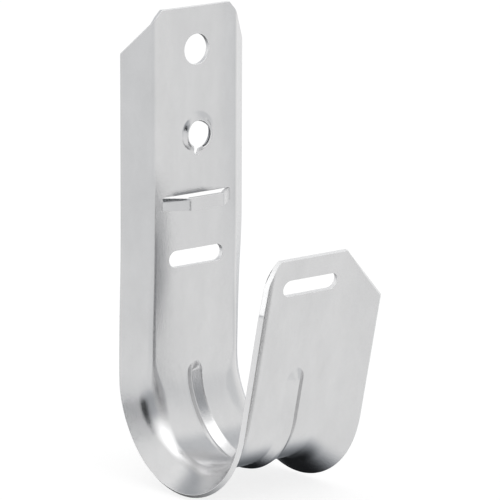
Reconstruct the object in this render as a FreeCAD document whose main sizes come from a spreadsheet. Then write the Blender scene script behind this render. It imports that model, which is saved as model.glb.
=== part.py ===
import FreeCAD, Part
import math
import os
import Sketcher
from FreeCAD import Placement, Rotation, Vector

# J hook cable support, pressed from one strip of galvanised steel sheet
#
# X runs across the strip, Y points from the cable side into the wall and Z is up.
# The origin is on the cable face of the web, at the centre of the mounting hole.

doc = FreeCAD.newDocument("j_hook_cable_support")

# Driving sizes in millimetres and degrees
SIZES = [
    ("sheet", 1.2, "thickness of the steel sheet"),
    ("bend_radius", 2.5, "radius of the back's folds between web and wing, on the cable face"),
    ("loop_bend_radius", 6.0, "radius of the folds round the loop and up the tongue"),
    ("loop_radius", 16.65, "radius of the cable face of the loop"),
    ("loop_drop", 77.6, "from the mounting hole down to the centre of the loop"),
    ("top_margin", 10.1, "from the mounting hole up to the top edge"),
    ("lean", 12.9, "lean of the tongue away from the back, degrees"),
    ("tongue_length", 41.1, "straight length of the tongue, from the loop to its top edge"),
    ("back_web", 24.4, "width of the back's web, fold to fold"),
    ("back_wing", 8.05, "width of the back's wings"),
    ("back_flare", 42.5, "angle of the back's wings, degrees"),
    ("waist_web", 24.2, "width of the web at the waist above the loop"),
    ("waist_wing", 8.05, "width of the wings at the waist"),
    ("waist_flare", 48.0, "angle of the wings at the waist, degrees"),
    ("waist_height", 5.0, "height of the waist above the centre of the loop"),
    ("taper_height", 37.0, "height above the centre of the loop where the web starts to narrow"),
    ("loop_web", 25.4, "width of the web round the loop and up the tongue"),
    ("loop_wing", 7.75, "width of the wings round the loop and up the tongue"),
    ("loop_flare", 45.8, "angle of the wings round the loop and up the tongue, degrees"),
    ("top_edge", 19.8, "length of the top edges between their cut corners"),
    ("hole_bore", 7.2, "diameter of the mounting hole"),
    ("screw_drop", 19.8, "formed screw hole's centre below the mounting hole"),
    ("screw_bore", 6.1, "formed screw hole across its lip"),
    ("screw_dish", 10.4, "ring of sheet drawn up into the single thread"),
    ("screw_pitch", 1.5, "how far the lip climbs in one turn"),
    ("screw_start", 0.15, "how far the lip stands up where its turn begins"),
    ("screw_slit_lip", 20.0, "slit's angle at the lip, in degrees"),
    ("screw_slit_root", 5.0, "slit's angle at the ring's outer edge, in degrees"),
    ("screw_slit_skew", 8.0, "how far the slit runs aside from lip to outer edge, in degrees"),
    ("bridge_drop", 35.5, "from the mounting hole down to the middle of the lanced bridge"),
    ("bridge_height", 3.0, "height of the bridge's strap"),
    ("bridge_flat", 10.2, "length of the raised flat of the bridge"),
    ("bridge_run", 4.9, "run of the bridge's ramps"),
    ("bridge_rise", 4.0, "how far the bridge stands out from the web"),
    ("bridge_bend", 0.2, "inside radius of the bridge's bends"),
    ("slot_length", 15.9, "length of the two strap slots"),
    ("slot_width", 4.0, "width of the two strap slots"),
    ("back_slot_drop", 49.1, "from the mounting hole down to the slot in the back"),
    ("tongue_slot_margin", 7.1, "from the slot in the tongue up to the tongue's top edge"),
    ("bead_radius", 2.9, "radius of the stiffening bead's outer face"),
    ("bead_height", 1.45, "how far the bead stands out from the sheet"),
    ("bead_back", 1.8, "height of the bead's end on the back above the centre of the loop"),
    ("bead_tongue", 10.3, "length of the bead on the straight of the tongue"),
]

sheet = doc.addObject("Spreadsheet::Sheet", "sizes")
size = {}
for row, (alias, value, note) in enumerate(SIZES, start=1):
    sheet.set(f"A{row}", alias.replace("_", " "))
    sheet.set(f"B{row}", str(value))
    sheet.set(f"C{row}", note)
    sheet.setAlias(f"B{row}", alias)
    size[alias] = value
doc.recompute()

hook = doc.addObject("PartDesign::Body", "pressed_strip")

X_AXIS = Vector(1, 0, 0)
Z_AXIS = Vector(0, 0, 1)
H_LINE, V_LINE = range(-1, -3, -1)
ROOT = H_LINE
START, END, CENTRE = range(1, 4)


# Sketches on the body's own planes

def origin_plane(role):
    return next(feature for feature in hook.Origin.OriginFeatures if feature.Role == role)


def new_sketch(name, role, offsets=None, turn=None):
    """A sketch on an origin plane, moved and turned about X by expressions on the sizes."""
    sketch = hook.newObject("Sketcher::SketchObject", name)
    sketch.AttachmentSupport = [(origin_plane(role), "")]
    sketch.MapMode = "FlatFace"
    if turn:
        sketch.AttachmentOffset = Placement(Vector(), Rotation(X_AXIS, 90))
        sketch.setExpression("AttachmentOffset.Rotation.Angle", turn)
    for axis, expression in (offsets or {}).items():
        sketch.setExpression(f"AttachmentOffset.Base.{axis}", expression)
    return sketch


def feature(kind, name, **settings):
    """A PartDesign feature with its plain settings; a text is bound as an expression."""
    made = hook.newObject(f"PartDesign::{kind}", name)
    for key, value in settings.items():
        if isinstance(value, str) and key in ("Length", "Angle"):
            made.setExpression(key, value)
        else:
            setattr(made, key, value)
    doc.recompute()
    return made


def drive(sketch, kind, *where, to, now):
    """Adds one driving constraint and ties it to the sizes."""
    index = sketch.addConstraint(Sketcher.Constraint(kind, *where, now))
    sketch.setExpression(f"Constraints[{index}]", to)


def tie(sketch, *constraints):
    for constraint in constraints:
        sketch.addConstraint(Sketcher.Constraint(*constraint))


def closed_polygon(sketch, points):
    """A closed run of lines through the points, each corner joined to the next."""
    first = sketch.GeometryCount
    count = len(points)
    for here, there in zip(points, points[1:] + points[:1]):
        sketch.addGeometry(Part.LineSegment(Vector(*here, 0), Vector(*there, 0)), False)
    for side in range(count):
        tie(sketch, ("Coincident", first + side, END, first + (side + 1) % count, START))
    return first


def place_corner(sketch, line, across, up, at):
    """Holds a line's start point by its two distances from the sketch's origin."""
    drive(sketch, "DistanceX", ROOT, START, line, START, to=across, now=at[0])
    drive(sketch, "DistanceY", ROOT, START, line, START, to=up, now=at[1])


# The strip's section: a flat web, two folds and two wings that lean towards the wall

def section_sketch(name, web, wing, flare, bend, height):
    """The strip cut across, with its cable face on the sketch's X axis."""
    sketch = new_sketch(name, "XY_Plane", {"z": height})
    half, lean = size[web] / 2, math.radians(size[flare])
    outer = size[bend]
    inner = outer - size["sheet"]
    tangent = outer * math.tan(lean / 2)
    fold = Vector(half - tangent, outer, 0)
    along = Vector(math.cos(lean), math.sin(lean), 0)
    depth = Vector(-math.sin(lean), math.cos(lean), 0)
    front_fold = fold - depth * outer
    front_tip = Vector(half, 0, 0) + along * size[wing]
    back_tip = front_tip + depth * size["sheet"]
    back_fold = fold - depth * inner
    flat = Vector(fold.x, 0, 0)
    back_flat = Vector(fold.x, size["sheet"], 0)

    def mirrored(point):
        return Vector(-point.x, point.y, 0)

    def line(start, end):
        return Part.LineSegment(start, end)

    def arc(centre, radius, start, end):
        circle = Part.Circle(centre, Z_AXIS, radius)
        return Part.ArcOfCircle(circle, start, end)

    down = -math.pi / 2
    sketch.addGeometry([
        line(mirrored(flat), flat),
        arc(fold, outer, down, down + lean),
        line(front_fold, front_tip),
        line(front_tip, back_tip),
        line(back_tip, back_fold),
        arc(fold, inner, down, down + lean),
        line(back_flat, mirrored(back_flat)),
        arc(mirrored(fold), inner, down - lean, down),
        line(mirrored(back_fold), mirrored(back_tip)),
        line(mirrored(back_tip), mirrored(front_tip)),
        line(mirrored(front_tip), mirrored(front_fold)),
        arc(mirrored(fold), outer, down - lean, down),
    ], False)
    tie(sketch,
        ("Tangent", 0, END, 1, START), ("Tangent", 1, END, 2, START),
        ("Coincident", 2, END, 3, START), ("Coincident", 3, END, 4, START),
        ("Tangent", 4, END, 5, END), ("Tangent", 5, START, 6, START),
        ("Tangent", 6, END, 7, END), ("Tangent", 7, START, 8, START),
        ("Coincident", 8, END, 9, START), ("Coincident", 9, END, 10, START),
        ("Tangent", 10, END, 11, START), ("Tangent", 11, END, 0, START),
        ("PointOnObject", 0, START, H_LINE), ("Symmetric", 0, START, 0, END, V_LINE),
        ("Perpendicular", 2, 3), ("Coincident", 1, CENTRE, 5, CENTRE), ("Horizontal", 6),
        ("Symmetric", 2, END, 10, START, V_LINE), ("Symmetric", 3, END, 8, END, V_LINE),
        ("Equal", 1, 11), ("Equal", 5, 7), ("Parallel", 8, 10))
    taken = f"sizes.{bend} * tan(sizes.{flare} / 2 * 1 deg)"
    drive(sketch, "Radius", 1, to=f"sizes.{bend}", now=outer)
    drive(sketch, "Radius", 5, to=f"sizes.{bend} - sizes.sheet", now=inner)
    drive(sketch, "Distance", 3, to="sizes.sheet", now=size["sheet"])
    drive(sketch, "Angle", 2, to=f"sizes.{flare} * 1 deg", now=lean)
    drive(sketch, "Distance", 2, to=f"sizes.{wing} - {taken}", now=size[wing] - tangent)
    drive(sketch, "DistanceX", 0, START, 0, END, to=f"sizes.{web} - 2 * {taken}", now=2 * fold.x)
    return sketch


LOOP_LEVEL = "-sizes.loop_drop"
TOP_LEVEL = "sizes.top_margin"

taper_section = section_sketch("taper_section", "back_web", "back_wing", "back_flare",
                               "bend_radius", f"{LOOP_LEVEL} + sizes.taper_height")
waist_section = section_sketch("waist_section", "waist_web", "waist_wing", "waist_flare",
                               "bend_radius", f"{LOOP_LEVEL} + sizes.waist_height")
loop_section = section_sketch("loop_section", "loop_web", "loop_wing", "loop_flare",
                              "loop_bend_radius", LOOP_LEVEL)
doc.recompute()

# The back: straight at the top, its wings closing a little to a waist just above the loop
feature("Pad", "back", Profile=taper_section,
        Length=f"{TOP_LEVEL} - ({LOOP_LEVEL} + sizes.taper_height)")
feature("AdditiveLoft", "taper", Profile=taper_section, Sections=[waist_section], Ruled=True)
feature("AdditiveLoft", "spring", Profile=waist_section, Sections=[loop_section], Ruled=True)


# The loop and the tongue are one sweep of the section along the J

def j_path(name, back_run, tongue_run):
    """The J on the cable face: down the back, round the loop and up the leaning tongue."""
    sketch = new_sketch(name, "YZ_Plane")
    radius, lean, level = size["loop_radius"], math.radians(size["lean"]), -size["loop_drop"]
    centre = Vector(-radius, level, 0)
    end = centre + Vector(-math.cos(lean), -math.sin(lean), 0) * radius
    tongue = Vector(-math.sin(lean), math.cos(lean), 0)
    circle = Part.Circle(centre, Z_AXIS, radius)
    arc = Part.ArcOfCircle(circle, math.pi + lean, 2 * math.pi)
    sketch.addGeometry([arc, Part.LineSegment(end, end + tongue * size[tongue_run])], False)
    tie(sketch, ("Tangent", 0, START, 1, START), ("PointOnObject", 0, END, V_LINE),
        ("Horizontal", 0, CENTRE, 0, END))
    drive(sketch, "Radius", 0, to="sizes.loop_radius", now=radius)
    drive(sketch, "DistanceY", ROOT, START, 0, END, to=LOOP_LEVEL, now=level)
    drive(sketch, "Angle", 1, to="90 deg + sizes.lean * 1 deg", now=math.pi / 2 + lean)
    drive(sketch, "Distance", 1, to=f"sizes.{tongue_run}", now=size[tongue_run])
    if back_run:
        top = Vector(0, level + size[back_run], 0)
        sketch.addGeometry(Part.LineSegment(Vector(0, level, 0), top), False)
        tie(sketch, ("Tangent", 0, END, 2, START))
        drive(sketch, "Distance", 2, to=f"sizes.{back_run}", now=size[back_run])
    return sketch


loop_path = j_path("loop_path", None, "tongue_length")
doc.recompute()
feature("AdditivePipe", "loop_and_tongue", Profile=loop_section, Spine=loop_path,
        Mode="Binormal", Binormal=X_AXIS)


# The stiffening bead: a ridge outside and a groove inside, with rounded ends

BACK_END = {"z": f"{LOOP_LEVEL} + sizes.bead_back"}
TONGUE_RUN = "sizes.bead_tongue"
TONGUE_END = {
    "y": f"-sizes.loop_radius * (1 + cos(sizes.lean * 1 deg)) - {TONGUE_RUN} * sin(sizes.lean * 1 deg)",
    "z": f"{LOOP_LEVEL} - sizes.loop_radius * sin(sizes.lean * 1 deg)"
         f" + {TONGUE_RUN} * cos(sizes.lean * 1 deg)",
}
BEAD_CENTRE = "sizes.bead_radius - sizes.bead_height - sizes.sheet"


def bead_sketch(name, offsets, turn, thinner, chord, half):
    """The round of the bead beyond a chord, whole for the sweep or its half for an end."""
    sketch = new_sketch(name, "XY_Plane", offsets, turn)
    radius = size["bead_radius"] - thinner
    centre = size["bead_height"] + size["sheet"] - size["bead_radius"]
    reach = math.sqrt(radius ** 2 - (chord - centre) ** 2)
    slope = math.atan2(chord - centre, reach)
    circle = Part.Circle(Vector(0, centre, 0), Z_AXIS, radius)
    crest = Vector(0, centre + radius, 0)
    finish = math.pi / 2 if half else math.pi - slope
    corner = Vector(0 if half else -reach, chord, 0)
    sketch.addGeometry(Part.ArcOfCircle(circle, slope, finish), False)
    sketch.addGeometry(Part.LineSegment(corner, Vector(reach, chord, 0)), False)
    tie(sketch, ("Coincident", 1, END, 0, START), ("Horizontal", 1),
        ("PointOnObject", 0, CENTRE, V_LINE))
    if half:
        sketch.addGeometry(Part.LineSegment(crest, corner), False)
        tie(sketch, ("Coincident", 0, END, 2, START), ("Coincident", 2, END, 1, START),
            ("PointOnObject", 0, END, V_LINE), ("PointOnObject", 1, START, V_LINE))
    else:
        tie(sketch, ("Coincident", 0, END, 1, START))
    wall = " - sizes.sheet" if thinner else ""
    drive(sketch, "Radius", 0, to=f"sizes.bead_radius{wall}", now=radius)
    drive(sketch, "DistanceY", 0, CENTRE, ROOT, START, to=BEAD_CENTRE, now=-centre)
    depth = "-sizes.sheet / 2" if thinner else "sizes.sheet / 2"
    drive(sketch, "DistanceY", ROOT, START, 1, START, to=depth, now=chord)
    return sketch


BACK_TURN = "0 deg"
TONGUE_TURN = "180 deg + sizes.lean * 1 deg"
bead_path = j_path("bead_path", "bead_back", "bead_tongue")
middle = size["sheet"] / 2

ridge = bead_sketch("ridge_section", BACK_END, BACK_TURN, 0, middle, False)
ridge_back = bead_sketch("ridge_back_end", BACK_END, BACK_TURN, 0, middle, True)
ridge_tongue = bead_sketch("ridge_tongue_end", TONGUE_END, TONGUE_TURN, 0, middle, True)
groove = bead_sketch("groove_section", BACK_END, BACK_TURN, size["sheet"], -middle, False)
groove_back = bead_sketch("groove_back_end", BACK_END, BACK_TURN, size["sheet"], -middle, True)
groove_tongue = bead_sketch("groove_tongue_end", TONGUE_END, TONGUE_TURN,
                            size["sheet"], -middle, True)
doc.recompute()

SWEEP = {"Spine": bead_path, "Mode": "Binormal", "Binormal": X_AXIS}
feature("AdditivePipe", "bead", Profile=ridge, **SWEEP)
feature("Revolution", "bead_back_end", Profile=ridge_back, Angle=180,
        ReferenceAxis=(ridge_back, ["V_Axis"]), Reversed=True)
feature("Revolution", "bead_tongue_end", Profile=ridge_tongue, Angle=180,
        ReferenceAxis=(ridge_tongue, ["V_Axis"]))
feature("SubtractivePipe", "bead_groove", Profile=groove, **SWEEP)
feature("Groove", "groove_back_round", Profile=groove_back, Angle=180,
        ReferenceAxis=(groove_back, ["V_Axis"]), Reversed=True)
feature("Groove", "groove_tongue_round", Profile=groove_tongue, Angle=180,
        ReferenceAxis=(groove_tongue, ["V_Axis"]))


# Holes and slots in the web, each cut on the strip's cable face

def round_sketch(name, across, offsets):
    """A circle centred on the sketch's origin."""
    sketch = new_sketch(name, "XZ_Plane", offsets)
    circle = Part.Circle(Vector(0, 0, 0), Z_AXIS, size[across] / 2)
    sketch.addGeometry(circle, False)
    tie(sketch, ("Coincident", 0, CENTRE, ROOT, START))
    drive(sketch, "Diameter", 0, to=f"sizes.{across}", now=size[across])
    return sketch


def slot_sketch(name, role, offsets, turn, up, at):
    """A slot with round ends, its centre on the vertical axis."""
    sketch = new_sketch(name, role, offsets, turn)
    radius = size["slot_width"] / 2
    reach = size["slot_length"] / 2 - radius
    right = Part.Circle(Vector(reach, at, 0), Z_AXIS, radius)
    left = Part.Circle(Vector(-reach, at, 0), Z_AXIS, radius)
    quarter = math.pi / 2
    sketch.addGeometry([
        Part.LineSegment(Vector(-reach, at - radius, 0), Vector(reach, at - radius, 0)),
        Part.ArcOfCircle(right, -quarter, quarter),
        Part.LineSegment(Vector(reach, at + radius, 0), Vector(-reach, at + radius, 0)),
        Part.ArcOfCircle(left, quarter, 3 * quarter),
    ], False)
    tie(sketch,
        ("Tangent", 0, END, 1, START), ("Tangent", 1, END, 2, START),
        ("Tangent", 2, END, 3, START), ("Tangent", 3, END, 0, START),
        ("Equal", 1, 3), ("Symmetric", 1, CENTRE, 3, CENTRE, V_LINE))
    drive(sketch, "Diameter", 1, to="sizes.slot_width", now=2 * radius)
    drive(sketch, "DistanceX", 3, CENTRE, 1, CENTRE,
          to="sizes.slot_length - sizes.slot_width", now=2 * reach)
    if at:
        drive(sketch, "DistanceY", ROOT, START, 1, CENTRE, to=up, now=at)
    else:
        tie(sketch, ("PointOnObject", 1, CENTRE, H_LINE))
    return sketch


def corner_sketch(name, role, offsets, turn, prefix, top, at):
    """The two corners of the flat strip's end, cut at 45 degrees before it was folded."""
    sketch = new_sketch(name, role, offsets, turn)
    edge, half, wing = size["top_edge"] / 2, size[f"{prefix}_web"] / 2, size[f"{prefix}_wing"]
    spare = size["sheet"]
    fold = half - edge
    shrink = math.cos(math.radians(size[f"{prefix}_flare"]))
    far = half + (wing + spare) * shrink
    corners = [(edge - spare, at + spare), (half, at - fold),
               (far, at - fold - wing - spare), (far, at + spare)]
    web = f"sizes.{prefix}_web / 2"
    reach = f"(sizes.{prefix}_wing + sizes.sheet)"
    outer = f"{web} + {reach} * cos(sizes.{prefix}_flare * 1 deg)"
    drop = f"({web} - sizes.top_edge / 2)"
    across = ["sizes.top_edge / 2 - sizes.sheet", web, outer, outer]
    height = [f"{top} + sizes.sheet", f"{top} - {drop}", f"{top} - {drop} - {reach}",
              f"{top} + sizes.sheet"]
    right = closed_polygon(sketch, corners)
    left = closed_polygon(sketch, [(-x, y) for x, y in corners])
    for index, corner in enumerate(corners):
        place_corner(sketch, right + index, across[index], height[index], corner)
        tie(sketch, ("Symmetric", right + index, START, left + index, START, V_LINE))
    return sketch


ON_TONGUE = {
    "y": "-sizes.loop_radius * (1 + cos(sizes.lean * 1 deg))",
    "z": f"{LOOP_LEVEL} - sizes.loop_radius * sin(sizes.lean * 1 deg)",
}
TONGUE_FACE = "90 deg + sizes.lean * 1 deg"
TONGUE_SLOT = "sizes.tongue_length - sizes.tongue_slot_margin"

mounting = round_sketch("mounting_circle", "hole_bore", None)
dish = round_sketch("screw_ring_circle", "screw_dish", {"y": "-sizes.screw_drop"})
back_slot = slot_sketch("back_slot_outline", "XZ_Plane", {"y": "-sizes.back_slot_drop"},
                        None, None, 0)
tongue_slot = slot_sketch("tongue_slot_outline", "XY_Plane", ON_TONGUE, TONGUE_FACE,
                          TONGUE_SLOT, size["tongue_length"] - size["tongue_slot_margin"])
back_corners = corner_sketch("back_corner_outline", "XZ_Plane", None, None,
                             "back", TOP_LEVEL, size["top_margin"])
tongue_corners = corner_sketch("tongue_corner_outline", "XY_Plane", ON_TONGUE, TONGUE_FACE,
                               "loop", "sizes.tongue_length", size["tongue_length"])
doc.recompute()

THROUGH = "2 * sizes.sheet"
feature("Pocket", "mounting_hole", Profile=mounting, Length=THROUGH)
feature("Pocket", "screw_ring_hole", Profile=dish, Length=THROUGH)
feature("Pocket", "back_slot", Profile=back_slot, Length=THROUGH)
feature("Pocket", "tongue_slot", Profile=tongue_slot, Length=THROUGH, Reversed=True)
feature("Pocket", "back_corners", Profile=back_corners, Length="sizes.back_wing + sizes.sheet")
feature("Pocket", "tongue_corners", Profile=tongue_corners, Reversed=True,
        Length="sizes.loop_wing + sizes.sheet")


# The lanced bridge: a strap of the web cut above and below and pushed towards the cable

RAMP = "atan(sizes.bridge_rise / sizes.bridge_run)"
BRIDGE_REACH = f"sizes.bridge_flat / 2 + sizes.bridge_run + sizes.bridge_bend * tan({RAMP} / 2)"
BRIDGE_FLOOR = "-sizes.bridge_drop - sizes.bridge_height / 2"
ramp = math.atan2(size["bridge_rise"], size["bridge_run"])
bridge_reach = (size["bridge_flat"] / 2 + size["bridge_run"]
                + size["bridge_bend"] * math.tan(ramp / 2))

window = new_sketch("bridge_window_outline", "XZ_Plane", {"y": BRIDGE_FLOOR})
tall = size["bridge_height"]
first = closed_polygon(window, [(-bridge_reach, 0), (bridge_reach, 0),
                                (bridge_reach, tall), (-bridge_reach, tall)])
tie(window, ("Horizontal", first), ("Horizontal", first + 2), ("Vertical", first + 1),
    ("Vertical", first + 3), ("Symmetric", first, START, first, END, ROOT, START))
drive(window, "DistanceX", first, START, first, END, to=f"2 * ({BRIDGE_REACH})",
      now=2 * bridge_reach)
drive(window, "DistanceY", first + 1, START, first + 1, END, to="sizes.bridge_height", now=tall)

strap = new_sketch("bridge_outline", "XY_Plane", {"z": BRIDGE_FLOOR})
inside = size["bridge_bend"]
outside = inside + size["sheet"]
crest = -size["bridge_rise"]
foot = Vector(bridge_reach, -inside, 0)
knee = Vector(size["bridge_flat"] / 2 - outside * math.tan(ramp / 2), crest + outside, 0)
down, up = -math.pi / 2, math.pi / 2


def right_bend(centre, radius, begin):
    return Part.ArcOfCircle(Part.Circle(centre, Z_AXIS, radius), begin, begin + ramp)


def left_bend(centre, radius, begin):
    circle = Part.Circle(Vector(-centre.x, centre.y, 0), Z_AXIS, radius)
    return Part.ArcOfCircle(circle, math.pi - begin - ramp, math.pi - begin)


def around(centre, radius, angle):
    return centre + Vector(math.cos(angle), math.sin(angle), 0) * radius


def strap_line(start, end, side=1):
    return Part.LineSegment(Vector(side * start.x, start.y, 0), Vector(side * end.x, end.y, 0))


crest_out, crest_in = around(knee, outside, down), around(knee, inside, down)
foot_in, foot_out = around(foot, inside, up), around(foot, outside, up)
ramp_out = (around(knee, outside, down + ramp), around(foot, inside, up + ramp))
ramp_in = (around(foot, outside, up + ramp), around(knee, inside, down + ramp))
strap.addGeometry([
    Part.LineSegment(Vector(-crest_out.x, crest_out.y, 0), crest_out),
    right_bend(knee, outside, down),
    strap_line(*ramp_out),
    right_bend(foot, inside, up),
    strap_line(foot_in, foot_out),
    right_bend(foot, outside, up),
    strap_line(*ramp_in),
    right_bend(knee, inside, down),
    Part.LineSegment(crest_in, Vector(-crest_in.x, crest_in.y, 0)),
    left_bend(knee, inside, down),
    strap_line(ramp_in[1], ramp_in[0], -1),
    left_bend(foot, outside, up),
    strap_line(foot_out, foot_in, -1),
    left_bend(foot, inside, up),
    strap_line(ramp_out[1], ramp_out[0], -1),
    left_bend(knee, outside, down),
], False)
tie(strap,
    ("Tangent", 0, END, 1, START), ("Tangent", 1, END, 2, START), ("Tangent", 2, END, 3, END),
    ("Coincident", 3, START, 4, START), ("Coincident", 4, END, 5, START),
    ("Tangent", 5, END, 6, START), ("Tangent", 6, END, 7, END), ("Tangent", 7, START, 8, START),
    ("Tangent", 8, END, 9, END), ("Tangent", 9, START, 10, START),
    ("Tangent", 10, END, 11, START), ("Coincident", 11, END, 12, START),
    ("Coincident", 12, END, 13, END), ("Tangent", 13, START, 14, START),
    ("Tangent", 14, END, 15, START), ("Tangent", 15, END, 0, START),
    ("Vertical", 4), ("Vertical", 12),
    ("Coincident", 1, CENTRE, 7, CENTRE), ("Coincident", 9, CENTRE, 15, CENTRE),
    ("Coincident", 3, CENTRE, 5, CENTRE), ("Coincident", 11, CENTRE, 13, CENTRE),
    ("PointOnObject", 3, CENTRE, 4), ("PointOnObject", 13, CENTRE, 12),
    ("Equal", 1, 15), ("Equal", 3, 13), ("Equal", 5, 11), ("Equal", 7, 9),
    ("Symmetric", 1, CENTRE, 15, CENTRE, V_LINE), ("Symmetric", 4, START, 12, END, V_LINE),
    ("PointOnObject", 4, START, H_LINE))
drive(strap, "Radius", 1, to="sizes.bridge_bend + sizes.sheet", now=outside)
drive(strap, "Radius", 3, to="sizes.bridge_bend", now=inside)
drive(strap, "Radius", 5, to="sizes.bridge_bend + sizes.sheet", now=outside)
drive(strap, "Radius", 7, to="sizes.bridge_bend", now=inside)
drive(strap, "DistanceY", 0, START, ROOT, START, to="sizes.bridge_rise", now=-crest)
drive(strap, "DistanceX", ROOT, START, 3, CENTRE, to=BRIDGE_REACH, now=bridge_reach)
drive(strap, "DistanceX", ROOT, START, 1, CENTRE,
      to=f"sizes.bridge_flat / 2 - (sizes.bridge_bend + sizes.sheet) * tan({RAMP} / 2)",
      now=knee.x)
doc.recompute()

feature("Pocket", "bridge_window", Profile=window, Length=THROUGH)
feature("Pad", "bridge", Profile=strap, Length="sizes.bridge_height")


# The screw hole: the sheet round it is drawn up as one turn of a thread

ON_RING = "-sizes.screw_drop"

root = doc.addObject("Part::Circle", "screw_ring_root")
root.Placement = Placement(Vector(), Rotation(X_AXIS, -90))
root.setExpression("Placement.Base.z", ON_RING)
root.setExpression("Radius", "sizes.screw_dish / 2")
root.setExpression("Angle1", "90 + sizes.screw_slit_skew + sizes.screw_slit_root / 2")
root.setExpression("Angle2", "90 + sizes.screw_slit_skew - sizes.screw_slit_root / 2")

lip = doc.addObject("Part::Helix", "screw_ring_lip")
lip.LocalCoord = "Left-handed"
lip.setExpression("Radius", "sizes.screw_bore / 2")
lip.setExpression("Pitch", "sizes.screw_pitch")
lip.setExpression("Height", "sizes.screw_pitch * (1 - sizes.screw_slit_lip / 360)")
lip.setExpression("Placement", "placement(vector(0; -sizes.screw_start; -sizes.screw_drop);"
                  " rotation(vector(1; 0; 0); 90)"
                  " * rotation(vector(0; 0; 1); 270 - sizes.screw_slit_lip / 2))")
doc.recompute()

skin = doc.addObject("Part::RuledSurface", "screw_ring_skin")
skin.Curve1 = (root, ["Edge1"])
skin.Curve2 = (lip, ["Edge1"])

ring = doc.addObject("Part::Extrusion", "screw_ring")
ring.Base = skin
ring.DirMode = "Custom"
ring.Dir = Vector(0, 1, 0)
ring.setExpression("LengthFwd", "sizes.sheet")
ring.Solid = True

part = doc.addObject("Part::Fuse", "j_hook")
part.Label = "j_hook"
part.Base = hook
part.Tool = ring
part.Refine = True
doc.recompute()

# Every object must have come out sound before the part is written
for thing in doc.Objects:
    faults = {"Invalid", "Error"} & set(thing.State)
    if faults:
        raise RuntimeError(f"{thing.Name} is {faults}")
    if thing.isDerivedFrom("Sketcher::SketchObject") and not thing.FullyConstrained:
        raise RuntimeError(f"{thing.Name} isn't fully held by its constraints")
if not part.Shape.isValid() or len(part.Shape.Solids) != 1:
    raise RuntimeError("The hook isn't one valid solid")

os.makedirs("parts", exist_ok=True)
part.Shape.exportStep(f"parts/{part.Label}.step")
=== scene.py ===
import math

import bpy
import numpy as np
from mathutils import Euler, Matrix, Vector
from mathutils.geometry import delaunay_2d_cdt


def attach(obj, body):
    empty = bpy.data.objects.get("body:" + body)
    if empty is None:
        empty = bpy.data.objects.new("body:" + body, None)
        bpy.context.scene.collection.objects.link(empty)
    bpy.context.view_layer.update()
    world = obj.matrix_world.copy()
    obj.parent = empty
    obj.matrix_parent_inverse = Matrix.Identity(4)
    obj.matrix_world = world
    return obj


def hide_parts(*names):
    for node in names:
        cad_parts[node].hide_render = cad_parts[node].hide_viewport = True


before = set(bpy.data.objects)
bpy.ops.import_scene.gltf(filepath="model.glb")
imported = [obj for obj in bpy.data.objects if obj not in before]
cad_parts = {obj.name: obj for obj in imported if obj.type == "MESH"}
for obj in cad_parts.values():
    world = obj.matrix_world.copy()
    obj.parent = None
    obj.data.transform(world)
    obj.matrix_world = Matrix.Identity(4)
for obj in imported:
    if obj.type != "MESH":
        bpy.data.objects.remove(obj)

scene = bpy.context.scene
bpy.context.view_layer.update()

# The hook is one strip of zinc-coated steel sheet, a flat web with a wing folded back along each
# long edge, pressed into a J and screwed to a wall by its back. Its cable face is a surface over
# the flat strip, with lengths counted from the loop's start, and the metal lies behind it.
SHEET = 1.2
LOOP_RADIUS = 16.65
LOOP_DROP = 77.6
ABOVE_MOUNT = 10.1
LEAN = math.radians(12.9)
TONGUE = 41.1
LOOP_RUN = LOOP_RADIUS * (math.pi - LEAN)
STRIP_START = -(LOOP_DROP + ABOVE_MOUNT)
STRIP_END = LOOP_RUN + TONGUE

# Half the web, the wing, its angle and the web's bow towards the wall, on the back, at the waist
# above the loop and from the loop on, and the spans where one runs into the next
TO_WAIST, TO_LOOP = (-37.0, -2.0), (-2.0, 11.0)
HALF_WEB = 12.35, 12.5, 12.7
WING = 8.05, 7.95, 7.75
FLARE = math.radians(41.2), math.radians(48.6), math.radians(45.8)
BOW = 0.0, 0.85, 0.0

# The fold's radius on the back, at the start of the loop, at its bottom and on the tongue
FOLD = 2.5, 9.0, 4.4, 7.6
FOLD_SPANS = (-5.0, 5.0), (7.0, 17.0), (19.0, 34.0)

# The web's edge leans back on a wide arc, which fades out above the loop to all but nothing
CROWN, CROWN_RUN, CROWN_FADE, CROWN_LEAST = math.radians(7), 6.0, (-26.0, -5.0), 1e-4


def eased(along, span):
    """Three squares less two cubes of the share of a span: a soft rise from 0 to 1."""
    share = np.clip((along - span[0]) / (span[1] - span[0]), 0, 1)
    return share * share * (3 - 2 * share)


def changing(along, values):
    """The back's value, plus each step to the next value times its eased share."""
    back, waist, loop = values
    return (back + (waist - back) * eased(along, TO_WAIST)
            + (loop - waist) * eased(along, TO_LOOP))


def section(along):
    """Half width of the web, the lean at its edge, the fold's radius, the wing's angle, the fold's
    length round its arc and the wing's flat, at a length. The fold's tangent, its radius times
    the tangent of half its angle, comes off the web and off the wing."""
    web, wing, flare = changing(along, HALF_WEB), changing(along, WING), changing(along, FLARE)
    fold = sum(((second - first) * eased(along, span)
                for first, second, span in zip(FOLD, FOLD[1:], FOLD_SPANS)), FOLD[0])
    lean = CROWN * (1 - eased(along, CROWN_FADE)) + CROWN_LEAST
    tangent = fold * np.tan(flare / 2)
    return web - tangent, lean, fold, flare, fold * (flare - lean), wing - tangent


def half_width(along):
    """Half of the flat strip's width: flat web, fold measured round its arc, and wing."""
    web, _, _, _, arc, wing = section(along)
    return web + arc + wing


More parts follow.
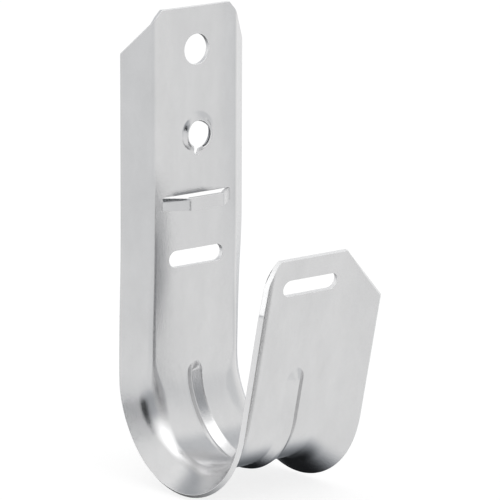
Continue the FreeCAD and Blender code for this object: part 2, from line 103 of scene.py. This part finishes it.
def strip_point(across, along, out):
    """A place on the flat strip carried onto the J, then moved out along the web's own normal.
    Across the strip it runs flat, leans back a little on a wide arc at the web's edge, turns
    round the fold's arc and runs straight up the wing. Along the strip it runs straight down the
    back, round the loop's arc and straight up the tongue."""
    web, lean, fold, flare, arc, _ = section(along)
    over = np.abs(across) - web
    crown = CROWN_RUN / lean
    leaning = lean * np.clip(over / CROWN_RUN + 1, 0, 1)
    turned = lean + np.clip(over / fold, 0, flare - lean)
    beyond = np.maximum(over - arc, 0)
    x = (np.minimum(np.abs(across), web - CROWN_RUN) + crown * np.sin(leaning)
         + fold * (np.sin(turned) - np.sin(lean)) + beyond * np.cos(flare))
    depth = (crown * (1 - np.cos(leaning)) + fold * (np.cos(lean) - np.cos(turned))
             + beyond * np.sin(flare) + out + changing(along, BOW))
    bend = np.clip(along / LOOP_RADIUS, 0, math.pi - LEAN)
    straight = np.minimum(along, 0) + np.maximum(along - LOOP_RUN, 0)
    y = -LOOP_RADIUS + (LOOP_RADIUS + depth) * np.cos(bend) - straight * np.sin(bend)
    z = -LOOP_DROP - (LOOP_RADIUS + depth) * np.sin(bend) - straight * np.cos(bend)
    return np.stack([np.copysign(x, across), y, z], axis=-1)


# The bead stiffens the loop: a shallow channel pressed outwards along the middle of the strip,
# from just above the loop to the foot of the tongue, where its round ends run out. The run-out
# is the share of a length past an end that counts as a step away from the bead's middle.
BEAD_HALF, BEAD_SLOPE = 2.5, math.radians(30)
BEAD_FLOOR, BEAD_LIP = 0.4, 1.25
BEAD_START, BEAD_END, BEAD_RUNOUT = -0.3, LOOP_RUN + 10.1, 0.75


def bead_depth(across, along):
    """Down a convex arc at the lip, a straight flank and a hollow arc to the bead's middle."""
    past = np.maximum(np.maximum(BEAD_START - along, along - BEAD_END), 0)
    away = np.hypot(across, past * BEAD_RUNOUT)
    rise, run = 1 - math.cos(BEAD_SLOPE), math.sin(BEAD_SLOPE)
    lip = BEAD_LIP - np.sqrt(np.maximum(BEAD_LIP**2 - (BEAD_HALF - away)**2, 0))
    flank = BEAD_LIP * rise + (BEAD_HALF - BEAD_LIP * run - away) * math.tan(BEAD_SLOPE)
    deep = BEAD_LIP * rise + (BEAD_HALF - (BEAD_LIP + BEAD_FLOOR) * run) * math.tan(BEAD_SLOPE)
    hollow = np.sqrt(np.maximum(BEAD_FLOOR**2 - away**2, 0))
    floor = deep + BEAD_FLOOR * rise - BEAD_FLOOR + hollow
    sloping = np.where(away < BEAD_HALF - BEAD_LIP * run, flank, lip)
    return np.where(away < BEAD_FLOOR * run, floor, np.where(away < BEAD_HALF, sloping, 0))


# The screw hole's ring is drawn out of the web towards the cable as a single thread: one turn
# that climbs from the slit below the hole round to the slit again. The ring is thinner at its
# lip, and the slit narrows from the lip to the ring's foot and runs askew.
SCREW_ALONG = -LOOP_DROP + 19.8
SCREW_BORE, SCREW_ROOT = 3.12, 5.3
SCREW_START, SCREW_PITCH = 0.65, 1.35
SCREW_CLIMB, TOP_CLIMB, TOP_LOSS = (0.34, 0.94), 1.3, 0.4
SLIT_LIP, SLIT_ROOT = 1.1, 0.55
LIP_SKEW, ROOT_SKEW = math.radians(7), math.radians(-1)
LIP_SHEET, THINNING = 0.7, (0.0, 0.6)


def ring_share(across, along):
    """0 outside the ring and 1 at its lip, in proportion to the distance from the middle."""
    radius = np.hypot(across, along - SCREW_ALONG)
    return np.clip((SCREW_ROOT - radius) / (SCREW_ROOT - SCREW_BORE), 0, 1)


def ring_height(across, along):
    """The lip's height grows with the angle round the hole, counted from the slit. The ring leaves
    the web softly, climbs steeply and flattens out at the lip; above the hole it is lower and
    climbs evenly."""
    near = ring_share(across, along)
    above = np.clip((SCREW_ALONG - along) / np.hypot(across, along - SCREW_ALONG), 0, 1)**2
    skew = LIP_SKEW * near + ROOT_SKEW * (1 - near)
    turn = np.mod(np.arctan2(-across, along - SCREW_ALONG) - skew, 2 * math.pi) / (2 * math.pi)
    rise = eased(near, SCREW_CLIMB) * (1 - above) + near**TOP_CLIMB * above
    return (SCREW_START + SCREW_PITCH * turn) * rise * (1 - TOP_LOSS * above)


def cable_face(across, along):
    """The strip's cable face with the bead pressed out and the screw hole's ring drawn up."""
    return strip_point(across, along, bead_depth(across, along) - ring_height(across, along))


# The mounting hole and the two strap slots are punched through the web, and the bridge's window
# is sheared. All outlines are drawn on the flat strip, inside the metal by the rounding that the
# rim adds round every cut edge.
ROUND = 0.12
MOUNT_ALONG, MOUNT_RADIUS = -LOOP_DROP, 3.6
SLOT_LONG, SLOT_TALL = 15.9, 4.0
BACK_SLOT_ALONG = -LOOP_DROP + 49.1
TONGUE_SLOT_ALONG = STRIP_END - 7.1


def circle(middle, radius, count, start=0.0, sweep=2 * math.pi):
    """Radius times the cosine and sine of even angles; a full turn leaves out its last point."""
    angle = start + np.linspace(0, sweep, count, endpoint=sweep < 2 * math.pi)
    return np.stack([radius * np.cos(angle), middle + radius * np.sin(angle)], axis=-1)


def level_row(across, along):
    """Points at one length of the strip."""
    return np.stack([across, np.full(len(across), along)], -1)


def slot_outline(middle):
    """Two half circles and the straight sides between them, the long way across the strip."""
    radius = SLOT_TALL / 2 + ROUND
    reach = SLOT_LONG / 2 - SLOT_TALL / 2
    right = circle(middle, radius, 25, -math.pi / 2, math.pi) + [reach, 0]
    left = circle(middle, radius, 25, math.pi / 2, math.pi) - [reach, 0]
    side = np.linspace(-reach, reach, 26)[1:-1]
    return np.concatenate([right, level_row(side[::-1], middle + radius),
                           left, level_row(side, middle - radius)])


mounting_hole = circle(MOUNT_ALONG, MOUNT_RADIUS + ROUND, 72)
back_slot = slot_outline(BACK_SLOT_ALONG)
tongue_slot = slot_outline(TONGUE_SLOT_ALONG)

lip_radius = SCREW_BORE + ROUND
lip_gap, root_gap = math.asin(SLIT_LIP / lip_radius), math.asin(SLIT_ROOT / SCREW_ROOT)
screw_lip = circle(SCREW_ALONG, lip_radius, 90, math.pi / 2 + LIP_SKEW + lip_gap,
                   2 * math.pi - 2 * lip_gap)
slit_share = np.linspace(0, 1, 13)[1:, None]


def slit_side(side, lip_point):
    """One side of the slit, straight from its corner on the lip to the ring's outer edge."""
    angle = math.pi / 2 + ROOT_SKEW + side * root_gap
    end = SCREW_ROOT * np.array([math.cos(angle), math.sin(angle)]) + [0, SCREW_ALONG]
    return lip_point + (end - lip_point) * slit_share


slit_left, slit_right = slit_side(1, screw_lip[0]), slit_side(-1, screw_lip[-1])
screw_hole = np.concatenate([screw_lip, slit_right, slit_left[::-1]])

# The lanced bridge, under which a strap is threaded, is the band of web between two cuts, pushed
# out towards the cable on two ramps with a flat between them. The shearing rolls the upper edge
# of each ramp back: wide at the ramp's foot and slim at its knee.
BRIDGE_ALONG = -LOOP_DROP + 35.5
BRIDGE_TALL, BRIDGE_FLAT, BRIDGE_RUN, BRIDGE_RISE = 3.0, 10.2, 4.9, 4.0
BRIDGE_BEND = 0.2
ROLL_WIDE, ROLL_SLIM, ROLL_SOFT, ROLL_SLOPE = 1.15, 0.5, 0.12, 0.34
ramp = math.atan2(BRIDGE_RISE, BRIDGE_RUN)
BRIDGE_REACH = BRIDGE_FLAT / 2 + BRIDGE_RUN + BRIDGE_BEND * math.tan(ramp / 2)
low, high = BRIDGE_ALONG - BRIDGE_TALL / 2, BRIDGE_ALONG + BRIDGE_TALL / 2
strap_rows = np.linspace(low + ROUND, high - ROUND, 19)
end_rows = np.concatenate([[low - ROUND], strap_rows, [high + ROUND]])
cut_row = np.linspace(-BRIDGE_REACH, BRIDGE_REACH, 60)[1:-1]
bridge_window = np.concatenate([
    np.stack([np.full(len(end_rows), BRIDGE_REACH), end_rows], -1),
    level_row(cut_row[::-1], high + ROUND),
    np.stack([np.full(len(end_rows), -BRIDGE_REACH), end_rows[::-1]], -1),
    level_row(cut_row, low - ROUND)])


def bridge_face(travel, along):
    """From one end of the window to the other: bend, ramp, bend and flat, then the same back. On
    the ramps the upper edge falls back along a hyperbola, from a line that nears it uphill."""
    knee, foot = BRIDGE_BEND + SHEET, BRIDGE_BEND
    slope = math.hypot(BRIDGE_RUN, BRIDGE_RISE) - (knee + foot) * math.tan(ramp / 2)
    flat = BRIDGE_FLAT / 2 - knee * math.tan(ramp / 2)
    marks = np.cumsum([foot * ramp, slope, knee * ramp, flat])
    gone = (1 - np.abs(travel)) * marks[3]
    bend = np.clip(gone / foot, 0, ramp)
    climb = np.clip(gone - marks[0], 0, slope)
    knee_bend = ramp - np.clip((gone - marks[1]) / knee, 0, ramp)
    level = np.maximum(gone - marks[2], 0) + np.minimum(gone, 0)
    x = (foot * np.sin(bend) + climb * math.cos(ramp)
         + knee * (math.sin(ramp) - np.sin(knee_bend)) + level)
    rise = (foot * (1 - np.cos(bend)) + climb * math.sin(ramp)
            + knee * (np.cos(knee_bend) - math.cos(ramp)))
    ends = np.clip(gone / marks[0], 0, 1) * np.clip((marks[2] - gone) / knee, 0, 1)
    rolled = np.clip(low + ROLL_WIDE - (ROLL_WIDE - ROLL_SLIM) * gone / marks[2] - along, 0, None)
    rise = rise - ends * (np.hypot(rolled, ROLL_SOFT) - ROLL_SOFT) * ROLL_SLOPE
    return np.stack([np.copysign(BRIDGE_REACH - x, travel), -rise, -LOOP_DROP - along], -1)


# The blank is the flat strip as it is cut before it is bent. Its long edges follow the wings, and
# its four corners are cut off at 45 degrees, which leaves a straight edge at either end.
HALF_END = 9.9


def end_cut(end, inwards):
    """From the end's top edge down the cut corner to the long edge, inset by the rim's rounding."""
    half = half_width(np.array(end))
    spare = ROUND * (math.sqrt(2) - 1)
    top = np.array([HALF_END - spare, end + inwards * ROUND])
    foot = np.array([half - ROUND, end + inwards * (half - HALF_END + spare)])
    return top + (foot - top) * np.linspace(0, 1, 26)[:, None]


back_cut = end_cut(STRIP_START, 1)
tongue_cut = end_cut(STRIP_END, -1)
edge_rows = np.linspace(back_cut[-1, 1], tongue_cut[-1, 1], 330)[1:-1]
right_edge = np.stack([half_width(edge_rows) - ROUND, edge_rows], -1)
right_side = np.concatenate([back_cut, right_edge, tongue_cut[::-1]])
end_row = np.linspace(back_cut[0, 0], -back_cut[0, 0], 36)[1:-1]
outline = np.concatenate([right_side, level_row(end_row, STRIP_END - ROUND),
                          right_side[::-1] * [-1, 1],
                          level_row(end_row[::-1], STRIP_START + ROUND)])


def inside(points, loop):
    """Even-odd rule: inside if a line from the point crosses the loop an odd number of times."""
    x, y = points[:, 0][:, None], points[:, 1][:, None]
    ax, ay = loop[:, 0][None], loop[:, 1][None]
    bx, by = np.roll(ax, -1, axis=1), np.roll(ay, -1, axis=1)
    level = (ay > y) != (by > y)
    rise = np.where(by == ay, 1, by - ay)
    return (level & (x < ax + (y - ay) * (bx - ax) / rise)).sum(axis=1) % 2 == 1


def clearance(points, loop):
    """Distance to the nearest side of the loop, each point's foot on a side kept within it."""
    a = loop[None]
    b = np.roll(loop, -1, axis=0)[None] - a
    p = points[:, None] - a
    share = np.clip((p * b).sum(-1) / np.maximum((b * b).sum(-1), 1e-12), 0, 1)
    return np.linalg.norm(p - b * share[..., None], axis=-1).min(axis=1)


def chunked(function, points, loop):
    """The same in 40 parts, to spare memory."""
    return np.concatenate([function(part, loop) for part in np.array_split(points, 40)])


# Rows along the strip are closer at the bead's ends, and lines across it at the bead and folds
ROW_STEP, FINE_STEP, FINE_REACH = 0.52, 0.28, 3.4
FIRST_ROW, LAST_ROW = 0.4, 0.6
BEAD_BAND = 2.9
rows = [STRIP_START + FIRST_ROW]
while rows[-1] < STRIP_END - LAST_ROW:
    at_bead_end = min(abs(rows[-1] - BEAD_START), abs(rows[-1] - BEAD_END)) < FINE_REACH
    rows.append(rows[-1] + (FINE_STEP if at_bead_end else ROW_STEP))
rows = np.array(rows)
web, _, _, _, arc, wing = section(rows)
bead_lines = np.linspace(-BEAD_BAND, BEAD_BAND, 29)
across_web = BEAD_BAND + (web[:, None] - BEAD_BAND) * np.linspace(0, 1, 13)[1:]
across_fold = web[:, None] + arc[:, None] * np.linspace(0, 1, 11)[1:]
across_wing = (web + arc)[:, None] + wing[:, None] * np.linspace(0, 1, 10)[1:-1]
half = np.concatenate([across_web, across_fold, across_wing], axis=1)
lines = np.concatenate([-half[:, ::-1], np.tile(bead_lines, (len(rows), 1)), half], axis=1)
grid = np.stack([lines, np.repeat(rows[:, None], lines.shape[1], 1)], -1).reshape(-1, 2)

# The grid keeps clear of every cut edge and of the screw hole's ring, which has rings of its own
GRID_CLEAR, RING_CLEAR, SLIT_CLEAR = 0.2, 0.35, 0.12
RING_MARGIN, GAP_MARGIN, RING_ROWS = 0.24, 0.06, 18
loops = [outline, mounting_hole, screw_hole, bridge_window, back_slot, tongue_slot]
keep = chunked(inside, grid, outline)
for loop in loops:
    keep &= chunked(clearance, grid, loop) > GRID_CLEAR
for loop in loops[1:]:
    keep &= ~chunked(inside, grid, loop)
keep &= np.hypot(grid[:, 0], grid[:, 1] - SCREW_ALONG) > SCREW_ROOT + RING_CLEAR
ring_points = np.concatenate([
    circle(SCREW_ALONG, radius, 90, math.pi / 2 + skew + gap, 2 * math.pi - 2 * gap)
    for radius, gap, skew in zip(np.linspace(lip_radius, SCREW_ROOT, RING_ROWS)[1:],
                                 np.linspace(lip_gap, root_gap, RING_ROWS)[1:] + GAP_MARGIN,
                                 np.linspace(LIP_SKEW, ROOT_SKEW, RING_ROWS)[1:])])
ring_points = np.concatenate([ring_points, circle(SCREW_ALONG, SCREW_ROOT + RING_MARGIN, 90)])
clear_of_slit = chunked(clearance, ring_points, screw_hole) > SLIT_CLEAR
flat_points = np.concatenate(loops + [grid[keep], ring_points[clear_of_slit]])
cut_sides = []
first = 0
for loop in loops:
    place = np.arange(len(loop))
    cut_sides += list(zip((first + place).tolist(), (first + np.roll(place, -1)).tolist()))
    first += len(loop)
flat_verts, _, triangles, *_ = delaunay_2d_cdt([Vector(p) for p in flat_points.tolist()],
                                               cut_sides, [], 0, 1e-6)
flat_verts = np.array([tuple(v) for v in flat_verts])
triangles = np.array(triangles)
middles = flat_verts[triangles].mean(axis=1)
shown = chunked(inside, middles, outline)
for loop in loops[1:]:
    shown &= ~chunked(inside, middles, loop)
strip_faces = triangles[shown][:, ::-1]
strip_verts = cable_face(flat_verts[:, 0], flat_verts[:, 1])


def towards_cable(surface, first, second, step=1e-3):
    """Normals on the cable side, from the surface's two slopes as small central differences."""
    slope_first = surface(first + step, second) - surface(first - step, second)
    slope_second = surface(first, second + step) - surface(first, second - step)
    normal = np.cross(slope_second, slope_first).reshape(-1, 3)
    return normal / np.linalg.norm(normal, axis=-1, keepdims=True)


# The bridge's band is a grid of its own, joined to the web at the two ends of its window
travel_grid, along_grid = np.meshgrid(np.linspace(-1, 1, 141), strap_rows)
strap_verts = bridge_face(travel_grid, along_grid)
index = len(strip_verts) + np.arange(travel_grid.size).reshape(travel_grid.shape)
for end in (0, -1):
    apart = np.linalg.norm(strip_verts[None] - strap_verts[:, end, None], axis=-1)
    index[:, end] = apart.argmin(axis=1)
strap_faces = np.stack([index[:-1, :-1], index[1:, :-1], index[1:, 1:], index[:-1, 1:]], -1)
strap_faces = strap_faces.reshape(-1, 4)
front = np.concatenate([strip_verts, strap_verts.reshape(-1, 3)])
front_normals = np.concatenate([
    towards_cable(cable_face, flat_verts[:, 0], flat_verts[:, 1]),
    towards_cable(bridge_face, travel_grid, along_grid)])
sheet = np.full(len(front), SHEET)
drawn = eased(ring_share(flat_verts[:, 0], flat_verts[:, 1]), THINNING)
sheet[:len(flat_verts)] = SHEET + (LIP_SHEET - SHEET) * drawn

# A rounded rim joins the sheet's two faces round every cut edge, as the shears and punches leave
# it: a quarter turn, the bare cut and another quarter turn.
MITRE_LEAST = 0.5

# A cut edge is a side of a face that no neighbour runs back along
edges = np.concatenate([strip_faces[:, [a, b]] for a, b in ((0, 1), (1, 2), (2, 0))]
                       + [strap_faces[:, [a, b]] for a, b in ((0, 1), (1, 2), (2, 3), (3, 0))])
codes = edges[:, 0] * len(front) + edges[:, 1]
edges = edges[~np.isin(codes, edges[:, 1] * len(front) + edges[:, 0])]
following = np.full(len(front), -1)
following[edges[:, 0]] = edges[:, 1]
before = np.full(len(front), -1)
before[edges[:, 1]] = edges[:, 0]
rim = np.nonzero(following >= 0)[0]
rim_normals = front_normals[rim]


def outwards(start, end):
    """The edge's direction crossed with the face's normal: square to the cut, off the metal."""
    side = np.cross(front[end] - front[start], rim_normals)
    return side / np.linalg.norm(side, axis=-1, keepdims=True)


coming, going = outwards(before[rim], rim), outwards(rim, following[rim])
mitre = (coming + going) / np.maximum(1 + (coming * going).sum(-1, keepdims=True), MITRE_LEAST)
ahead = mitre / np.linalg.norm(mitre, axis=-1, keepdims=True)

# Three rows of points curl out from the cable face, and three more curl back in to the wall face
angles = np.radians([30, 60, 90, 90, 60, 30])
facing = np.array([1, 1, 1, -1, -1, -1])
curls = ROUND * (1 - np.cos(angles))
depths = [np.full(len(rim), curl) if side > 0 else sheet[rim] - curl
          for side, curl in zip(facing, curls)]
rim_rows = [front[rim] + mitre * ROUND * math.sin(angle) - rim_normals * depth[:, None]
            for angle, depth in zip(angles, depths)]
rim_row_normals = [ahead * math.sin(angle) + rim_normals * math.cos(angle) * side
                   for angle, side in zip(angles, facing)]
count = len(front)
place_on_rim = np.full(count, -1)
place_on_rim[rim] = np.arange(len(rim))
ladder = [rim]
ladder += [2 * count + row * len(rim) + np.arange(len(rim)) for row in range(len(angles))]
ladder += [count + rim]
here, there = place_on_rim[edges[:, 0]], place_on_rim[edges[:, 1]]
rim_faces = np.concatenate([np.stack([upper[there], upper[here], lower[here], lower[there]], -1)
                            for upper, lower in zip(ladder[:-1], ladder[1:])])

# The hook's mesh: cable face, wall face and rim, with the cut edges marked for the coating
MM = 0.001
points = np.concatenate([front, front - front_normals * sheet[:, None]] + rim_rows)
all_normals = np.concatenate([front_normals, -front_normals] + rim_row_normals)
cut_edge = np.arange(len(points)) >= 2 * count
face_groups = [strip_faces, strap_faces, strip_faces[:, ::-1] + count,
               strap_faces[:, ::-1] + count, rim_faces]
used = np.zeros(len(points), bool)
for group in face_groups:
    used[group] = True
renumber = np.cumsum(used) - 1
faces = [face for group in face_groups for face in renumber[group].tolist()]
hook_mesh = bpy.data.meshes.new("hook")
hook_mesh.from_pydata(points[used] * MM, [], faces)
hook_mesh.polygons.foreach_set("use_smooth", np.ones(len(faces), bool))
hook_mesh.normals_split_custom_set_from_vertices(all_normals[used].tolist())
hook_mesh.attributes.new("cut_edge", "FLOAT", "POINT").data.foreach_set(
    "value", cut_edge[used].astype(np.float32))
hook_mesh.update()
hook = bpy.data.objects.new("hook", hook_mesh)
scene.collection.objects.link(hook)

# The zinc coating is a bright satin metal with a faint cloudy mottle, drawn out a little along
# the rolling, and a grain finer than the eye resolves. The cut edges are paler and duller.
ROLLED, MOTTLE_SCALE, GRAIN_SCALE = (1.0, 0.6, 0.45), 160.0, 5200.0
ZINC_TONE, MOTTLED, GRAINED, PALER, BLUER = 0.655, 0.12, 0.06, 0.22, 1.005
ZINC_ROUGH, ROUGH_MOTTLED, DULLER, LESS_METAL = 0.17, 0.08, 0.2, 0.35
GRAIN_HEIGHT = 0.00002


class Socket:
    """A node's output that can be added, multiplied and so on; each step is a Math node."""

    def __init__(self, tree, link):
        self.tree, self.link = tree, link

    def math(self, operation, *values):
        return node(self.tree, "Math", {"operation": operation}, [self, *values])

    def __add__(self, other):
        return self.math("ADD", other)

    def __mul__(self, other):
        return self.math("MULTIPLY", other)

    def __sub__(self, other):
        return self.math("SUBTRACT", other)

    def __rsub__(self, other):
        return node(self.tree, "Math", {"operation": "SUBTRACT"}, [other, self])

    __radd__, __rmul__ = __add__, __mul__


def node(tree, kind, settings, inputs, output=0):
    """Adds a node, sets it up, fills its sockets by number or name and returns one output."""
    made = tree.nodes.new("ShaderNode" + kind)
    for name, value in settings.items():
        setattr(made, name, value)
    pairs = inputs.items() if isinstance(inputs, dict) else enumerate(inputs)
    for key, value in pairs:
        if isinstance(value, Socket):
            tree.links.new(value.link, made.inputs[key])
        else:
            made.inputs[key].default_value = value
    return Socket(tree, made.outputs[output]) if made.outputs else None


def new_material(name):
    """A material with no nodes yet, and its tree."""
    material = bpy.data.materials.new(name)
    material.use_nodes = True
    material.node_tree.nodes.clear()
    return material, material.node_tree


zinc, tree = new_material("zinc_coat")
place = node(tree, "TexCoord", {}, {}, "Object")
rolled = node(tree, "VectorMath", {"operation": "MULTIPLY"}, [place, ROLLED])
clouds = node(tree, "TexNoise", {}, {"Vector": rolled, "Scale": MOTTLE_SCALE, "Detail": 4.0,
                                     "Roughness": 0.6})
fine = node(tree, "TexNoise", {}, {"Vector": place, "Scale": GRAIN_SCALE, "Detail": 0.0})
cut = node(tree, "Attribute", {"attribute_name": "cut_edge"}, {}, "Fac")
tone = ZINC_TONE + MOTTLED * (clouds - 0.5) + GRAINED * (fine - 0.5) + PALER * cut
colour = node(tree, "CombineColor", {}, [tone, tone, tone * BLUER])
rough = ZINC_ROUGH + ROUGH_MOTTLED * (clouds - 0.5) + DULLER * cut
bump = node(tree, "Bump", {}, {"Strength": 1.0, "Distance": GRAIN_HEIGHT, "Height": fine},
            "Normal")
shader = node(tree, "BsdfPrincipled", {}, {
    "Base Color": colour, "Metallic": 1.0 - LESS_METAL * cut, "Roughness": rough, "Normal": bump})
node(tree, "OutputMaterial", {}, {"Surface": shader})
hook_mesh.materials.append(zinc)

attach(hook, "root")
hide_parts("j_hook")

# The camera stands at the photograph's viewing angle, to the left of the hook and a little above
# it, and its shift puts the hook where the photograph's frame has it.
AZIMUTH, ELEVATION, ROLL = math.radians(-39.0), math.radians(13.201), math.radians(0.179)
DISTANCE, PIXELS_PER_MM = 1098.82, 4.327
TARGET = Vector((0, -0.018, 0.025 - LOOP_DROP * MM))
PICTURE, SENSOR, TARGET_X, TARGET_Y = 500, 36, 245.064, 284.292
across_view = Vector((math.cos(AZIMUTH), math.sin(AZIMUTH), 0))
up_view = Vector((-math.sin(ELEVATION) * math.sin(AZIMUTH),
                  math.sin(ELEVATION) * math.cos(AZIMUTH), math.cos(ELEVATION)))
towards = across_view.cross(up_view)
camera_data = bpy.data.cameras.new("camera")
camera_data.sensor_width = SENSOR
camera_data.lens = PIXELS_PER_MM * DISTANCE * SENSOR / PICTURE
camera_data.shift_x = (PICTURE / 2 - TARGET_X) / PICTURE
camera_data.shift_y = (TARGET_Y - PICTURE / 2) / PICTURE
camera_data.clip_end = 10
camera = bpy.data.objects.new("camera", camera_data)
turn = Matrix((across_view, up_view, towards)).transposed().to_4x4()
camera.matrix_world = (Matrix.Translation(TARGET + towards * (DISTANCE * MM)) @ turn
                       @ Matrix.Rotation(ROLL, 4, "Z"))
scene.collection.objects.link(camera)
scene.camera = camera

# The studio is white all round. Reflections see its shades, each a round patch with a soft edge
# that makes its direction brighter or dimmer by a share, and matt things get a plain light.
# A patch is its azimuth from behind the hook, elevation, inner and outer angle, and change.
OVERHEAD_SOFTBOX, LEFT_LAMP = (-135, 74, 2, 34, 0.62), (-45, 28, 8, 24, 0.3)
NEAR_SIDE, GREY_SCREEN = (-150, 7, 16, 43, -0.12), (-158, 24, 14, 31, -0.42)
CAMERA_DARK, STAND_DARK = (-132, 22, 8, 15, -0.985), (-129, 33, 6, 13, -0.95)
LEFT_WALL, RIGHT_WALL = (-95, 14, 15, 28, -0.12), (118, 9, 17, 31, -0.17)
CORNER, BACKDROP = (68, 54, 8, 26, -0.3), (0, 22, 16, 42, -0.48)
UNDER_TABLE = (12, -45, 14, 55, -0.985)
STUDIO_WHITE, PLAIN_LIGHT, LESS_RED, LESS_GREEN = 0.99, 0.8, 0.15, 0.09
world = bpy.data.worlds.new("studio")
world.use_nodes = True
scene.world = world
world.node_tree.nodes.clear()
tree = world.node_tree
sight = node(tree, "TexCoord", {}, {}, "Generated")


def patch(azimuth, elevation, inner, outer):
    """1 within the inner angle of a direction and 0 beyond the outer one, eased in between by
    the cosine of the angle to that direction. All angles are in degrees."""
    level, rise = math.radians(azimuth), math.radians(elevation)
    pointing = (math.sin(level) * math.cos(rise), math.cos(level) * math.cos(rise), math.sin(rise))
    facing = node(tree, "VectorMath", {"operation": "DOT_PRODUCT"}, [sight, pointing], "Value")
    return node(tree, "MapRange", {"interpolation_type": "SMOOTHSTEP"}, {
        "Value": facing, "From Min": math.cos(math.radians(outer)),
        "From Max": math.cos(math.radians(inner)), "To Min": 0.0, "To Max": 1.0})


def rays(tree, kind):
    """1 on rays of one kind and 0 on the others."""
    return node(tree, "LightPath", {}, {}, kind)


shade = STUDIO_WHITE
for *place, change in (OVERHEAD_SOFTBOX, LEFT_LAMP, NEAR_SIDE, GREY_SCREEN, CAMERA_DARK, STAND_DARK,
                       LEFT_WALL, RIGHT_WALL, CORNER, BACKDROP, UNDER_TABLE):
    shade = shade * (1.0 + change * patch(*place))
seen = rays(tree, "Is Camera Ray") + rays(tree, "Is Transmission Ray")
glossy = rays(tree, "Is Glossy Ray")
strength = seen + glossy * shade + PLAIN_LIGHT * (1.0 - seen - glossy)

# The dimmer a direction is, the bluer it looks
cool = (glossy * (1.0 - shade)).math("MAXIMUM", 0.0)
tint = node(tree, "CombineColor", {}, [1.0 - LESS_RED * cool, 1.0 - LESS_GREEN * cool, 1.0])
back = node(tree, "Background", {}, {"Color": tint, "Strength": strength})
node(tree, "OutputWorld", {}, {"Surface": back})

# The floor is a sheet of white paper just below the hook. It glows for the camera, so that it
# meets the white background, and is matt for the light, so that it keeps the hook's shadow.
FLOOR_HALF, BELOW_LOOP, FLOOR_GAP = 2, 6.4, 0.0005
PAPER_TONE, PAPER_GLOW = 0.4, 0.7
floor_z = (-LOOP_DROP - LOOP_RADIUS - BELOW_LOOP) * MM - FLOOR_GAP
corners = [(-1, -1), (1, -1), (1, 1), (-1, 1)]
floor_mesh = bpy.data.meshes.new("floor")
floor_mesh.from_pydata([(FLOOR_HALF * x, FLOOR_HALF * y, floor_z) for x, y in corners], [],
                       [(0, 1, 2, 3)])
floor = bpy.data.objects.new("floor", floor_mesh)
scene.collection.objects.link(floor)
floor.visible_glossy = False
paper, tree = new_material("paper")
matt = node(tree, "BsdfDiffuse", {}, {"Color": (PAPER_TONE, PAPER_TONE, PAPER_TONE, 1)})
seen = (rays(tree, "Is Camera Ray") + rays(tree, "Is Glossy Ray")
        + rays(tree, "Is Transmission Ray"))
glow = node(tree, "Emission", {}, {"Color": (1, 1, 1, 1), "Strength": PAPER_GLOW * seen})
both = node(tree, "AddShader", {}, [matt, glow])
node(tree, "OutputMaterial", {}, {"Surface": both})
floor_mesh.materials.append(paper)

# A wide soft lamp hangs above the hook and a little in front of it, and gives the floor its
# faint shadow.
lamp_data = bpy.data.lights.new("soft_top", "AREA")
lamp_data.shape = "RECTANGLE"
lamp_data.size, lamp_data.size_y = 1.0, 1.0
lamp_data.energy = 1.2
lamp = bpy.data.objects.new("soft_top", lamp_data)
lamp.location = (0.1, -0.3, 1.0)
lamp.rotation_euler = Euler((math.radians(-12), 0, 0))
scene.collection.objects.link(lamp)

scene.view_settings.view_transform = "Standard"
